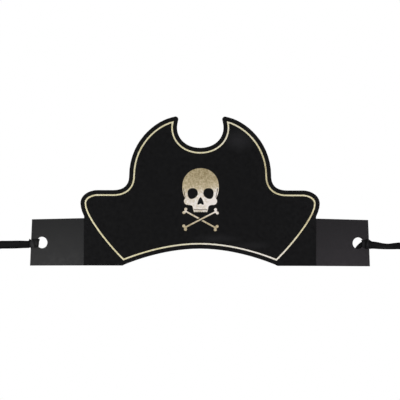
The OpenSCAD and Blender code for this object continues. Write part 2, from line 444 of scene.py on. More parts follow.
@dataclass(frozen=True)
class CardFinish:
    """Dyed black card with a smooth coated face."""

    name: str = "black_card"
    deep: Colour = (0.0022, 0.0022, 0.0025)
    bare: Colour = (0.0038, 0.0038, 0.0042)
    roughness: tuple[float, float] = (0.33, 0.41)
    specular: float = 0.15
    relief: float = 0.0022 * MM
    grain_sizes: tuple[float, float] = (3.2, 0.16)
    """Size of its coarse mottle and of its fine tooth, in millimetres."""
    coarse_share: float = 0.5
    """How high the mottle stands, as a share of the tooth."""
    scratch_depth: float = 0.6
    scratch_spacing: float = 9.0
    scratch_slope: float = math.radians(34)
    hazy: Colour = (0.0150, 0.0150, 0.0165)
    # The colour of its painted sheen, a painted reflection on the coated face.
    """Its colour where the coating has a haze."""
    # Soft areas of painted sheen: in the right horn and along the right of the arch.
    haze: tuple[Glow, ...] = (
        Glow(34, 111, 17, 13, 0.75),
        Glow(14, 24, 28, 5, 0.5),
        Glow(46, 18, 22, 5, 0.4),
    )

    def make(self, effects: Effects) -> bpy.types.Material:
        """Builds the material.

        Args:
            effects: The shared effects.

        Returns:
            The material.
        """
        material, sheet = new_material(self.name)
        place = sheet.add("ShaderNodeTexCoord").outputs["Object"]
        tooth = sheet.add(
            "ShaderNodeGroup",
            dict(zip(GRAIN_SIZES, self.grain_sizes)),
            node_tree=effects.grain,
        )
        marks = sheet.add(
            "ShaderNodeGroup",
            {"Spacing": self.scratch_spacing, "Angle": (0.0, self.scratch_slope, 0.0)},
            node_tree=effects.scuff,
        )
        for node in (tooth, marks):
            sheet.tree.links.new(place, node.inputs["Vector"])
        coarse, fine = tooth.outputs["Coarse"], tooth.outputs["Fine"]
        scratch = marks.outputs["Scratch"]
        relief = sheet.maths("MULTIPLY_ADD", coarse, self.coarse_share, fine)
        relief = sheet.maths("MULTIPLY_ADD", scratch, -self.scratch_depth, relief)
        bump = sheet.add(
            "ShaderNodeBump", {"Strength": 1.0, "Distance": self.relief, "Height": relief}
        )
        worn = sheet.maths("MULTIPLY_ADD", scratch, 0.5, coarse)
        colour = sheet.tint(worn, self.deep, self.bare)
        # Mixes the painted sheen into the card's colour.
        colour = lighten(sheet, effects.glow, colour, self.hazy, self.haze)
        sheet.finish(
            {
                "Base Color": colour,
                "Roughness": sheet.spread(worn, (0.0, 1.0, *self.roughness)),
                "Specular IOR Level": self.specular,
                "Normal": bump.outputs["Normal"],
            }
        )
        return material


@dataclass(frozen=True)
class CutEdgeFinish:
    """The card's cut edge: matt, fibrous and a little lighter than its face."""

    name: str = "cut_edge"
    deep: Colour = (0.006, 0.006, 0.006)
    bare: Colour = (0.018, 0.017, 0.017)
    roughness: tuple[float, float] = (0.75, 0.92)
    relief: float = 0.03 * MM
    grain_sizes: tuple[float, float] = (0.9, 0.09)
    """Size of its tufts and of its fibres, in millimetres."""

    def make(self, effects: Effects) -> bpy.types.Material:
        """Builds the material.

        Args:
            effects: The shared effects.

        Returns:
            The material.
        """
        material, sheet = new_material(self.name)
        place = sheet.add("ShaderNodeTexCoord").outputs["Object"]
        fibres = sheet.add(
            "ShaderNodeGroup",
            {"Vector": place, **dict(zip(GRAIN_SIZES, self.grain_sizes))},
            node_tree=effects.grain,
        )
        bump = sheet.add(
            "ShaderNodeBump",
            {"Strength": 1.0, "Distance": self.relief, "Height": fibres.outputs["Fine"]},
        )
        sheet.finish(
            {
                "Base Color": sheet.tint(fibres.outputs["Coarse"], self.deep, self.bare),
                "Roughness": sheet.spread(fibres.outputs["Fine"], (0.0, 1.0, *self.roughness)),
                "Normal": bump.outputs["Normal"],
            }
        )
        return material


@dataclass(frozen=True)
class FoilFinish:
    """Hot-stamped pale gold foil, finely mottled where the press took up the card's tooth."""

    name: str
    tones: tuple[Colour, Colour, Colour]
    # Its colour where it is dull, where it is plain and where it is brightest; the mottle and the
    # painted reflections move it between them.
    """Its colour where it is dull, where it is plain and where it is brightest."""
    # Soft areas of painted reflection (gain above 0) and painted shade (gain below 0) on the foil.
    glows: tuple[Glow, ...]
    plain: float = 0.5
    mottle: float = 0.38
    """How much the mottle changes the tone."""
    roughness: tuple[float, float] = (0.42, 0.56)
    relief: float = 0.02 * MM
    grain_sizes: tuple[float, float] = (1.4, 0.45)
    """Size of its mottle and of its crinkles, in millimetres."""
    coarse_height: float = 1.6
    """How high the mottle stands, as a share of the crinkles."""
    crinkle_tone: float = 0.08
    scratch_depth: float = 0.8
    scratch_spacing: float = 5.0
    scratch_slope: float = math.radians(-28)

    def make(self, effects: Effects) -> bpy.types.Material:
        """Builds the material.

        Args:
            effects: The shared effects.

        Returns:
            The material.
        """
        material, sheet = new_material(self.name)
        place = sheet.add("ShaderNodeTexCoord").outputs["Object"]
        mottle = sheet.add(
            "ShaderNodeGroup",
            {"Vector": place, **dict(zip(GRAIN_SIZES, self.grain_sizes))},
            node_tree=effects.grain,
        )
        marks = sheet.add(
            "ShaderNodeGroup",
            {
                "Vector": place,
                "Spacing": self.scratch_spacing,
                "Angle": (0.0, self.scratch_slope, 0.0),
            },
            node_tree=effects.scuff,
        )
        coarse, fine = mottle.outputs["Coarse"], mottle.outputs["Fine"]
        relief = sheet.maths("MULTIPLY_ADD", coarse, self.coarse_height, fine)
        scratch = marks.outputs["Scratch"]
        relief = sheet.maths("MULTIPLY_ADD", scratch, -self.scratch_depth, relief)
        bump = sheet.add(
            "ShaderNodeBump", {"Strength": 1.0, "Distance": self.relief, "Height": relief}
        )
        tone = sheet.maths("MULTIPLY_ADD", coarse, self.mottle, self.plain - 0.5 * self.mottle)
        tone = sheet.maths("MULTIPLY_ADD", fine, self.crinkle_tone, tone)
        # Painted reflections and painted shade brighten or dull the tone in soft areas.
        for area in self.glows:
            tone = area.add(sheet, effects.glow, tone)
        dull, plain, bright = self.tones
        low = sheet.tint(sheet.spread(tone, (0.0, 0.5, 0.0, 1.0)), dull, plain)
        colour = sheet.add(
            "ShaderNodeMix",
            {"Factor": sheet.spread(tone, (0.5, 1.0, 0.0, 1.0)), "A": low, "B": (*bright, 1)},
            data_type="RGBA",
        ).outputs["Result"]
        sheet.finish(
            {
                "Metallic": 1.0,
                "Base Color": colour,
                "Roughness": sheet.spread(fine, (0.0, 1.0, *self.roughness)),
                "Normal": bump.outputs["Normal"],
            }
        )
        return material


# The foils' soft areas are painted light: painted reflections where the gain is above 0, painted
# shade where it is below.
BORDER_FOIL = FoilFinish(
    "border_foil",
    ((0.42, 0.33, 0.18), (0.86, 0.80, 0.51), (1.0, 0.96, 0.88)),
    (
        Glow(52, 12, 52, 30, 0.50),
        Glow(6, 20, 50, 14, 0.28),
        Glow(62, 84, 22, 34, -0.30),
        Glow(96, 34, 22, 34, -0.16),
        Glow(26, 112, 26, 30, 0.24),
        Glow(-80, 25, 28, 34, -0.10),
    ),
)
EMBLEM_FOIL = FoilFinish(
    "emblem_foil",
    ((0.33, 0.26, 0.13), (0.67, 0.57, 0.38), (1.0, 0.94, 0.88)),
    (
        Glow(-2, 86, 60, 28, -0.38),
        Glow(3, 56, 40, 19, 0.42),
        Glow(16, 58, 13, 20, 0.40),
        Glow(0, 28, 60, 14, -0.26),
    ),
    mottle=0.48,
    relief=0.028 * MM,
)
ROLLED_FOIL = FoilFinish(
    "rolled_foil", ((0.05, 0.04, 0.02), (0.14, 0.115, 0.07), (0.3, 0.26, 0.18)), ()
)


@dataclass(frozen=True)
class SatinFinish:
    """Black satin ribbon: long warp threads along it, and a plain woven edge on each side."""

    name: str = "satin_ribbon"
    width: float = 7.2
    """The ribbon's width in millimetres, which is what its UV map is in."""
    edge: float = 0.55
    """Width of its woven edge."""
    warp_pitch: float = 0.16
    weft_pitch: float = 0.42
    rib_pitch: float = 0.3
    """Spacing of the ribs across its woven edge."""
    weft_share: float = 0.35
    fuzz_share: float = 0.8
    """How high the weft and the fuzz stand, as shares of the warp."""
    relief: float = 0.010 * MM
    roughness: tuple[float, float] = (0.42, 0.62)
    """Its roughness in the middle and on the woven edge."""
    roughness_drift: float = 0.08
    grain_sizes: tuple[float, float] = (2.4, 0.12)
    """Size of its uneven patches and of its fuzz, in millimetres."""
    deep: Colour = (0.0012, 0.0012, 0.0014)
    lit: Colour = (0.0034, 0.0034, 0.0038)
    shine: tuple[float, float] = (0.07, 0.01)
    """How strongly it shines along its middle and along its edges."""
    shine_band: tuple[float, float] = (0.12, 0.42)
    """Where that fades, from its middle, as shares of its width."""
    caught: Colour = (0.034, 0.034, 0.036)
    # The colour of the painted sheen where the tied folds catch the light.
    """Its colour where the tied folds catch the light."""
    # Soft areas of painted sheen over the two knots.
    catches: tuple[Glow, ...] = (
        Glow(-148.2, 18.5, 4.8, 7.0, 1.1),
        Glow(147.0, 19.0, 4.8, 6.0, 0.5),
    )

    def make(self, effects: Effects) -> bpy.types.Material:
        """Builds the material, along the piece's own UV map.

        Args:
            effects: The shared effects.

        Returns:
            The material.
        """
        material, sheet = new_material(self.name)
        along = sheet.add("ShaderNodeTexCoord")
        split = sheet.add("ShaderNodeSeparateXYZ", {"Vector": along.outputs["UV"]})
        across, down = split.outputs["X"], split.outputs["Y"]
        fuzz = sheet.add(
            "ShaderNodeGroup",
            {"Vector": along.outputs["Object"], **dict(zip(GRAIN_SIZES, self.grain_sizes))},
            node_tree=effects.grain,
        )
        turn = 2 * math.pi
        warp = sheet.maths("SINE", sheet.maths("MULTIPLY", across, turn / self.warp_pitch))
        thread = sheet.maths("FLOOR", sheet.maths("DIVIDE", across, 2 * self.warp_pitch))
        slip = sheet.maths("MULTIPLY", thread, 0.5)
        float_at = sheet.maths("ADD", sheet.maths("DIVIDE", down, self.weft_pitch), slip)
        weft = sheet.maths("SINE", sheet.maths("MULTIPLY", float_at, turn))
        middle = sheet.maths("ABSOLUTE", sheet.maths("SUBTRACT", across, self.width / 2))
        inner = self.width / 2 - self.edge
        selvedge = sheet.spread(middle, (inner - 0.1, inner, 0.0, 1.0))
        threads = sheet.maths("MULTIPLY_ADD", weft, self.weft_share, warp)
        ribs = sheet.maths("SINE", sheet.maths("MULTIPLY", down, turn / self.rib_pitch))
        weave = sheet.add(
            "ShaderNodeMix", {"Factor": selvedge, "A": threads, "B": ribs}, data_type="FLOAT"
        ).outputs["Result"]
        weave = sheet.maths("MULTIPLY_ADD", fuzz.outputs["Fine"], self.fuzz_share, weave)
        bump = sheet.add(
            "ShaderNodeBump", {"Strength": 1.0, "Distance": self.relief, "Height": weave}
        )
        patches = fuzz.outputs["Coarse"]
        rough = sheet.spread(selvedge, (0.0, 1.0, *self.roughness))
        rough = sheet.maths("MULTIPLY_ADD", patches, self.roughness_drift, rough)
        band = (share * self.width for share in self.shine_band)
        shine = sheet.spread(middle, (*band, *self.shine))
        colour = sheet.tint(patches, self.deep, self.lit)
        # Mixes the painted sheen over the knots into the ribbon's colour.
        colour = lighten(sheet, effects.glow, colour, self.caught, self.catches)
        sheet.finish(
            {
                "Base Color": colour,
                "Roughness": rough,
                "Specular IOR Level": shine,
                "Normal": bump.outputs["Normal"],
            }
        )
        return material


# The studio


@dataclass(frozen=True)
class Viewpoint:
    """The camera: level and square on to the front of the hat."""

    distance: float = 1.5
    sideways: float = -0.0001
    height: float = 0.0581
    field: float = 0.35356
    """Width of the view at the card, in metres."""
    tilt: float = -0.12
    """How far the camera is out of level, in degrees."""

    def place(self) -> None:
        """Makes the scene's camera."""
        lens = bpy.data.cameras.new("camera")
        lens.lens = lens.sensor_width * self.distance / self.field
        camera = bpy.data.objects.new("camera", lens)
        camera.location = (self.sideways, -self.distance, self.height)
        camera.rotation_euler = (math.pi / 2, math.radians(self.tilt), 0)
        bpy.context.scene.collection.objects.link(camera)
        bpy.context.scene.camera = camera
        LOG.info("camera %.1f mm lens", lens.lens)


@dataclass(frozen=True)
class SoftLight:
    """One soft box: a disc of even light, aimed at a point on the hat."""

    name: str
    at: tuple[float, float, float]
    aim: tuple[float, float, float]
    size: float
    power: float
    colour: Colour = (1.0, 1.0, 1.0)

    def place(self) -> None:
        """Makes the light."""
        data = bpy.data.lights.new(self.name, "AREA")
        data.shape = "DISK"
        data.size = self.size
        data.energy = self.power
        data.color = self.colour
        lamp = bpy.data.objects.new(self.name, data)
        lamp.location = self.at
        away = Vector(self.at) - Vector(self.aim)
        lamp.rotation_euler = away.to_track_quat("Z", "Y").to_euler()
        lamp.visible_camera = False
        bpy.context.scene.collection.objects.link(lamp)


@dataclass(frozen=True)
class Studio:
    """A white studio with a dark gap behind the camera, a pale floor and soft boxes."""

    drop: float = 0.03
    """Height of the lowest point of the hat over the floor, as the hat is held up by a head."""
    floor_radius: float = 0.9
    gap: tuple[float, float] = (12.0, 24.0)
    """The angles from the way to the camera at which the dark gap ends and the walls begin."""
    dark: float = 0.10
    walls: float = 1.0
    floor_sides: int = 96
    floor_white: float = 0.86
    floor_fade: tuple[float, float] = (0.35, 0.97)
    """Where the floor begins and ends its fade, as shares of its radius."""
    boxes: tuple[SoftLight, ...] = (
        SoftLight(
            "right_box",
            (0.302, -0.246, -0.045),
            (0.13, 0.0, 0.02),
            0.10,
            0.18,
            (1.0, 0.86, 1.0),
        ),
        SoftLight("left_box", (-0.302, -0.246, -0.045), (-0.13, 0.0, 0.02), 0.10, 0.25),
    )

    def build(self, lowest: float) -> None:
        """Makes the world, the floor and the lights.

        Args:
            lowest: Height of the hat's lowest point.
        """
        bpy.context.scene.view_settings.view_transform = "Standard"
        self.surround()
        self.floor(lowest - self.drop)
        for box in self.boxes:
            box.place()

    def surround(self) -> None:
        """Makes the world: white to the camera, and walls with a dark gap to everything else."""
        world = bpy.data.worlds.new("studio")
        world.use_nodes = True
        bpy.context.scene.world = world
        sheet = NodeSheet(world.node_tree)
        way = sheet.add("ShaderNodeTexCoord").outputs["Generated"]
        split = sheet.add("ShaderNodeSeparateXYZ", {"Vector": way})
        front = sheet.maths("MULTIPLY", split.outputs["Y"], -1.0)
        near, far = (math.cos(math.radians(angle)) for angle in self.gap)
        wall = sheet.spread(front, (far, near, self.walls, self.dark))
        lit = sheet.add("ShaderNodeBackground", {"Color": (1, 1, 1, 1), "Strength": wall})
        seen = sheet.add("ShaderNodeBackground", {"Color": (1, 1, 1, 1), "Strength": 1.0})
        rays = sheet.add("ShaderNodeLightPath")
        both = sheet.add("ShaderNodeMixShader", {0: rays.outputs["Is Camera Ray"]})
        sheet.tree.links.new(lit.outputs[0], both.inputs[1])
        sheet.tree.links.new(seen.outputs[0], both.inputs[2])
        sheet.add("ShaderNodeOutputWorld", {"Surface": both.outputs[0]})

    def floor(self, height: float) -> None:
        """Makes the pale floor, which fades into the white of the studio towards its rim.

        Args:
            height: Its height.
        """
        bm = bmesh.new()
        bmesh.ops.create_circle(
            bm,
            cap_ends=True,
            segments=self.floor_sides,
            radius=self.floor_radius,
            matrix=Matrix.Translation((0, 0, height)),
        )
        floor = mesh_piece("floor", bm, smooth=False)
        material, sheet = new_material("floor")
        place = sheet.add("ShaderNodeTexCoord").outputs["Object"]
        level = sheet.add(
            "ShaderNodeVectorMath", {0: place, 1: (1, 1, 0)}, operation="MULTIPLY"
        ).outputs[0]
        out = sheet.add("ShaderNodeVectorMath", {0: level}, operation="LENGTH").outputs["Value"]
        fade = (share * self.floor_radius for share in self.floor_fade)
        rim = sheet.spread(out, (*fade, 0.0, 1.0))
        matt = sheet.add("ShaderNodeBsdfDiffuse", {"Color": (*[self.floor_white] * 3, 1)})
        white = sheet.add("ShaderNodeEmission", {"Color": (1, 1, 1, 1), "Strength": 1.0})
        both = sheet.add("ShaderNodeMixShader", {0: rim})
        sheet.tree.links.new(matt.outputs[0], both.inputs[1])
        sheet.tree.links.new(white.outputs[0], both.inputs[2])
        sheet.add("ShaderNodeOutputMaterial", {"Surface": both.outputs[0]})
        floor.data.materials.append(material)
        floor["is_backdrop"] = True


# The card


@dataclass(frozen=True)
class Flap:
    """Where one flap of the card is at rest, and places on it in its own flat measure."""

    side: Side
    crease: float
    """Distance of the crease from the middle of the hat, in metres."""
    fold: float
    """How far the flap is folded back at rest, in radians."""
    top: float
    """Height of the flap at its crease, in metres."""

    def point(self, along: float, behind: float, up: float) -> Vector:
        """Finds a place on the flap.

        Args:
            along: Distance from the crease along the flap, in millimetres.
            behind: Distance behind the back of the card, in millimetres.
            up: Height over the flap's lower edge, in millimetres.

        Returns:
            The point in the hat's own frame, in metres.
        """
        flat = Matrix.Rotation(self.fold, 3, "Z") @ Vector((along, behind, up)) * MM
        return Vector((self.side.value * (self.crease + flat.x), flat.y, flat.z))

    def way(self, along: float, behind: float, up: float) -> Vector:
        """Turns a direction in the flap's flat measure into the hat's own frame."""
        return (self.point(along, behind, up) - self.point(0, 0, 0)).normalized()


@dataclass
class CardSheet:
    """The die-cut card: the panel, its two flaps and the scored creases between them."""

    frame: dict
    """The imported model."""
    panel_node: str = "front_panel"
    score_depth: float = 0.06 * MM
    """How far the scored line lies below the faces of the card."""
    tuck: float = 0.06 * MM
    """How far a crease strip runs into the card on each side."""
    bends: int = 10
    """Columns of faces across a crease strip."""

    def __post_init__(self) -> None:
        """Reads the creases and flaps from the frame."""
        low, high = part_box(self.panel_node)
        self.front, self.back = low.y, high.y
        self.gap = {}
        self.flaps = {}
        for side in Side:
            joint = next(j for j in self.frame["joints"] if j["name"] == f"{side.word}_fold")
            crease = abs(joint["pos_m"][0])
            fold = math.radians(-joint["range_deg"][0])
            near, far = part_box(f"{side.word}_flap")
            edge = near.x if side is Side.RIGHT else -far.x
            self.gap[side] = 2 * (edge - crease) / math.cos(fold)
            self.flaps[side] = Flap(side, crease, fold, far.z)

    def dress(self, face: bpy.types.Material, edge: bpy.types.Material) -> None:
        """Gives the card its faces and cut edges, and joins the creases.

        Args:
            face: The finish of its faces.
            edge: The finish of its cut edges.
        """
        for name in (self.panel_node, "left_flap", "right_flap"):
            node = self.frame["nodes"][name]
            node.data.materials.clear()
            node.data.materials.append(face)
            node.data.materials.append(edge)
            for polygon in node.data.polygons:
                flat = abs(polygon.normal.y) > 0.5
                polygon.material_index = 0 if flat else 1
            LOG.info("%s dressed", name)
        for side in Side:
            self.crease(side, face)

    def crease(self, side: Side, finish: bpy.types.Material) -> None:
        """Makes the scored strip of card that bends between the panel and a flap.

        Args:
            side: Which end of the hat.
            finish: The card's finish.
        """
        flap = self.flaps[side]
        half = self.gap[side] / 2
        bm = bmesh.new()
        bmesh.ops.create_grid(bm, x_segments=self.bends, y_segments=1, size=0.5)
        reach = half + self.tuck
        for vertex in bm.verts:
            across = 2 * reach * vertex.co.x
            up = (vertex.co.y + 0.5) * flap.top
            share = min(max(across / half / 2 + 0.5, 0), 1)
            eased = share * share * (3 - 2 * share)
            turned = Matrix.Rotation(flap.fold * eased, 3, "Z")
            groove = self.score_depth * (1 - 0.5 * min(abs(across) / half, 1))
            flat = turned @ Vector((across, self.front + groove, 0))
            vertex.co = (side.value * (flap.crease + flat.x), flat.y, up)
        made = bmesh.ops.extrude_face_region(bm, geom=bm.faces[:])
        thick = self.back - self.front - 2 * self.score_depth
        for vertex in (v for v in made["geom"] if isinstance(v, bmesh.types.BMVert)):
            vertex.co.y += thick
        bmesh.ops.recalc_face_normals(bm, faces=bm.faces)
        strip = mesh_piece(f"{side.word}_crease", bm, smooth=False)
        strip.data.materials.append(finish)
        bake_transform(strip)
        LOG.info("%s across %.2f mm", strip.name, self.gap[side] / MM)


# The foil


@dataclass(frozen=True)
class FoilStamp:
    """One stamped shape of foil: its edges are rolled down into the card by the die."""

    node: str
    rim: Numbers = (0.06, 0.08, 0.08)
    """Width of each step in from the edge, in millimetres."""
    rise: Numbers = (0.035, 0.025, 0.012)
    """How far each step rises, in millimetres."""
    rolled: float = math.radians(13)
    """The slope past which the foil takes the finish of its rolled edge."""

    def build(self, frame: dict, face: bpy.types.Material, edge: bpy.types.Material) -> None:
        """Makes the piece in place of its plain plate.

        Args:
            frame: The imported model.
            face: The foil's finish.
            edge: The finish of its rolled edge.
        """
        bm = bmesh.new()
        bm.from_mesh(frame["nodes"][self.node].data)
        bmesh.ops.remove_doubles(bm, verts=bm.verts, dist=MERGE)
        bm.normal_update()
        front = [f for f in bm.faces if f.normal.y < -0.9]
        drop = sum(self.rise[:2]) * MM
        for vertex in {v for f in front for v in f.verts}:
            vertex.co.y += drop
        for width, rise in zip(self.rim, self.rise):
            bmesh.ops.inset_region(
                bm, faces=front, thickness=width * MM, depth=rise * MM, use_even_offset=False
            )
        bmesh.ops.recalc_face_normals(bm, faces=bm.faces)
        piece = mesh_piece(f"{self.node}_stamp", bm)
        piece.data.materials.append(face)
        piece.data.materials.append(edge)
        for polygon in piece.data.polygons:
            polygon.use_smooth = abs(polygon.normal.y) < 0.9999
            polygon.material_index = 0 if polygon.normal.y < -math.cos(self.rolled) else 1
        piece.data.set_sharp_from_angle(angle=math.radians(40))
        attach(piece, "panel")
        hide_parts(self.node)
        LOG.info("%s with %d faces", piece.name, len(piece.data.polygons))


# The ribbon ties


@dataclass(frozen=True)
class Station:
    """One place along a laid ribbon."""

    at: Vector
    wide: Vector
    """The way its width points."""
    gather: float = 1.0
    """The share of its full width that it spreads to, with the rest taken up in pleats."""
    crown: float = 0.0
    """How far its middle stands off the line of its edges, in millimetres."""


@dataclass
class Ribbon:
    """A length of satin ribbon laid through some stations."""

    name: str
    stations: list[Station]
    width: float = 7.2 * MM
    thickness: float = 0.26 * MM
    across: int = 14
    rows: int = 8
    """Rows of faces from one station to the next."""
    pleats: float = 2.5
    wander: float = 0.9
    """How fast the pleats drift across the ribbon along it, in turns per station."""
    calm: float = 0.4
    """How much shallower the pleats are at its edges."""
    slant: float = 0.0
    """How far one edge of its cut end runs on past the other, as a share of its width."""
    cut: float = 0.05
    """The last share of its length, over which that slant comes in."""
    selvedge: float = 0.86
    """Where its thin woven edges begin, from 0 at its middle to 1."""
    thin: float = 0.6
    """Their thickness, as a share of the ribbon's."""

    def place(self, share: float, value: Callable[[Station], Vector | float]) -> Vector | float:
        """Reads some value of the stations at a share of the way along, smoothly."""
        return through([value(s) for s in self.stations], share)

    def surface(self, across: float, share: float) -> Vector:
        """Finds a point of the ribbon's middle surface.

        Args:
            across: From -1 at one edge to 1 at the other.
            share: From 0 at its first station to 1 at its last.

        Returns:
            The point, in metres.
        """
        step = 0.002
        low, high = max(share - step, 0), min(share + step, 1)
        at = self.place(share, lambda s: s.at)
        along = (self.place(high, lambda s: s.at) - self.place(low, lambda s: s.at)).normalized()
        wide = self.place(share, lambda s: s.wide)
        wide = (wide - along * wide.dot(along)).normalized()
        out = along.cross(wide)
        gather = min(self.place(share, lambda s: s.gather), 1.0)
        crown = self.place(share, lambda s: s.crown) * MM
        spare = math.sqrt(max(1 / gather**2 - 1, 0))
        height = 0.5 * self.width * gather * spare / (math.pi * self.pleats)
        phase = math.pi * self.pleats * across + math.tau * self.wander * share
        fold = height * math.sin(phase) * (1 - self.calm * across**2)
        end = max(0, 1 - (1 - share) / self.cut)
        trim = along * (self.slant * self.width * across / 2 * end)
        half = 0.5 * self.width * gather
        return at + wide * (across * half) + out * (fold + crown * (1 - across**2)) + trim

    def build(self, finish: bpy.types.Material) -> bpy.types.Object:
        """Makes the ribbon as a thin mesh with a UV map in millimetres.

        Args:
            finish: Its finish.

        Returns:
            The piece.
        """
        rows = self.rows * (len(self.stations) - 1)
        lengths = [0.0]
        middle = [self.place(i / rows, lambda s: s.at) for i in range(rows + 1)]
        for here, after in zip(middle, middle[1:]):
            lengths.append(lengths[-1] + (after - here).length)
        bm = bmesh.new()
        uv = bm.loops.layers.uv.verify()
        bmesh.ops.create_grid(
            bm, x_segments=self.across, y_segments=rows, size=0.5, calc_uvs=True
        )
        for face in bm.faces:
            for loop in face.loops:
                column, row = loop[uv].uv
                loop[uv].uv = (column * self.width / MM, lengths[round(row * rows)] / MM)
        edge = bm.verts.layers.deform.verify()
        for vertex in bm.verts:
            across = math.sin(math.pi * vertex.co.x)
            vertex[edge][0] = 1.0 if abs(across) > self.selvedge else 0.0
            vertex.co = self.surface(across, vertex.co.y + 0.5)
        piece = mesh_piece(self.name, bm)
        group = piece.vertex_groups.new(name="selvedge")
        thick = piece.modifiers.new("thickness", "SOLIDIFY")
        thick.thickness = self.thickness
        thick.offset = 0.0
        thick.vertex_group = group.name
        thick.thickness_vertex_group = self.thin
        piece.data.materials.append(finish)
        return piece


# The free ribbon's route: x outwards from the middle of the hat, y and z, in millimetres, then the
# turn of its width about that line in degrees
TAIL_ROUTES = {
    Side.RIGHT: (
        (152.6, 10.6, 18.4, 6),
        (157.1, 12.1, 17.9, 22),
        (161.2, 13.8, 17.3, 36),
        (167.2, 15.7, 16.9, 43),
        (173.2, 16.9, 17.2, 35),
        (178.6, 17.6, 17.4, 29),
        (183.7, 18.1, 16.1, 36),
        (188.1, 18.5, 13.1, 52),
        (191.3, 18.8, 9, 68),
        (193.3, 19, 4, 80),
        (194, 19.2, -2.5, 88),
        (193.8, 19.6, -15.5, 92),
        (193, 20.2, -32.5, 90),
        (192, 21, -51.5, 84),
        (191.2, 21.8, -71.5, 75),
        (190.8, 22.4, -91.5, 65),
        (191, 22.6, -111.5, 55),
        (191.6, 22.4, -131.5, 46),
        (192.2, 21.8, -151.5, 39),
        (192.5, 21, -171.5, 34),
        (192.4, 20.2, -190.5, 31),
        (192, 19.6, -208.5, 30),
    ),
    Side.LEFT: (
        (152.6, 10.6, 18.3, 4),
        (157.1, 12.1, 18.2, 2),
        (161.2, 13.8, 18.1, 0),
        (167.2, 15.7, 17.9, -2),
        (173.2, 16.9, 17.8, 0),
        (178.6, 17.6, 17.6, 4),
        (183.4, 18.1, 16.1, 20),
        (187.5, 18.6, 12.9, 42),
        (190.4, 18.9, 8.6, 62),
        (192.2, 19, 3.6, 77),
        (192.8, 19.1, -3, 86),
        (192.5, 18.8, -16, 92),
        (191.8, 18.4, -33, 96),
        (191.2, 18, -52, 100),
        (191, 17.9, -72, 105),
        (191.2, 18.2, -92, 111),
        (191.7, 18.8, -112, 118),
        (192.1, 19.6, -132, 125),
        (192.2, 20.3, -152, 131),
        (192, 20.8, -172, 136),
        (191.6, 21, -191, 139),
        (191.2, 21, -208, 140),
    ),
}

# The turn of ribbon through the hole and round the edge of the flap, in the flap's flat measure:
# along, behind and up, then the way its width points in the same measure, gather and crown
LOOP_ROUTES = {
    Side.RIGHT: (
        (51.6, -1.5, 18.8, 0, 0, 1, 0.80, 0.2),
        (50.2, -1.4, 18.9, 0, 0, 1, 0.92, 0.1),
        (48.2, -1.05, 18.9, -0.06, 0, 1, 0.98, 0.0),
        (46.1, -0.95, 19.0, -0.14, 0, 1, 0.98, 0.0),
        (44.4, -0.85, 19.3, -0.22, 0, 1, 0.93, 0.0),
        (43.2, -0.35, 19.6, -0.26, 0, 1, 0.88, 0.0),
        (43.3, 0.35, 19.6, -0.22, 0, 1, 0.88, 0.0),
        (44.5, 0.65, 19.3, -0.14, 0, 1, 0.93, 0.0),
        (46.5, 0.55, 19.0, -0.06, 0, 1, 0.97, 0.0),
        (48.8, 0.55, 18.8, 0, 0, 1, 0.95, 0.0),
        (50.6, 0.5, 18.7, 0, 0, 1, 0.90, 0.0),
        (51.3, -0.2, 18.7, 0, 0, 1, 0.85, 0.0),
        (51.5, -1.1, 18.7, 0, 0, 1, 0.80, 0.0),
    ),
    Side.LEFT: (
        (51.6, -1.5, 18.9, 0, 0, 1, 0.80, 0.2),
        (50.2, -1.45, 18.9, 0, 0, 1, 0.93, 0.2),
        (48.0, -1.15, 18.9, -0.04, 0, 1, 0.98, 0.1),
        (45.8, -1.2, 19.1, -0.1, 0, 1, 0.98, 0.2),
        (43.7, -1.35, 19.7, -0.17, 0, 1, 0.96, 0.3),
        (42.5, -0.8, 20.0, -0.2, 0, 1, 0.95, 0.3),
        (42.5, 0.2, 20.0, -0.2, 0, 1, 0.95, 0.3),
        (43.7, 0.85, 19.7, -0.15, 0, 1, 0.95, 0.2),
        (45.9, 0.65, 19.1, -0.08, 0, 1, 0.97, 0.0),
        (48.6, 0.55, 18.8, 0, 0, 1, 0.95, 0.0),
        (50.6, 0.5, 18.7, 0, 0, 1, 0.90, 0.0),
        (51.3, -0.2, 18.7, 0, 0, 1, 0.85, 0.0),
        (51.5, -1.1, 18.7, 0, 0, 1, 0.80, 0.0),
    ),
}

# The ribbon's short end, out of the knot, round the edge again and behind the flap: along, behind
# and up, in millimetres, then the lean of its width from upright in degrees, and its gather
STUB_ROUTES = {
    Side.RIGHT: (
        (50.4, -2.0, 18.7, 0, 0.70),
        (51.7, -1.2, 18.7, 0, 0.76),
        (52.0, 0.0, 18.8, 0, 0.82),
        (51.4, 1.0, 18.9, 0, 0.86),
        (50.0, 1.2, 19.1, -6, 0.90),
        (48.3, 1.25, 19.3, -14, 0.93),
        (46.5, 1.3, 19.0, -26, 0.96),
        (44.8, 1.25, 18.1, -36, 0.98),
        (42.9, 1.1, 16.8, -39, 0.98),
        (41.0, 0.95, 15.0, -39, 0.98),
        (39.4, 0.85, 12.9, -39, 0.98),
        (38.0, 0.8, 11.1, -39, 0.98),
    ),
    Side.LEFT: (
        (50.4, -2.0, 18.8, 0, 0.70),
        (51.7, -1.2, 18.7, 0, 0.76),
        (52.0, 0.0, 18.6, 0, 0.82),
        (51.4, 1.0, 18.5, 0, 0.86),
        (50.0, 1.2, 18.4, 4, 0.90),
        (48.6, 1.2, 18.2, 7, 0.93),
        (47.2, 1.1, 18.0, 9, 0.96),
        (45.9, 1.0, 17.7, 10, 0.98),
    ),
}

# The knot's two wraps: shift along the flap in millimetres, lean, share of the knot's reach, and
# turns
KNOT_WRAPS = {
    Side.RIGHT: ((0.4, -0.16, 0.88, 1.04), (-0.6, 0.04, 0.94, 1.06)),
    Side.LEFT: ((0.6, -0.16, 0.93, 1.04), (-0.5, 0.22, 1.0, 1.06)),
}


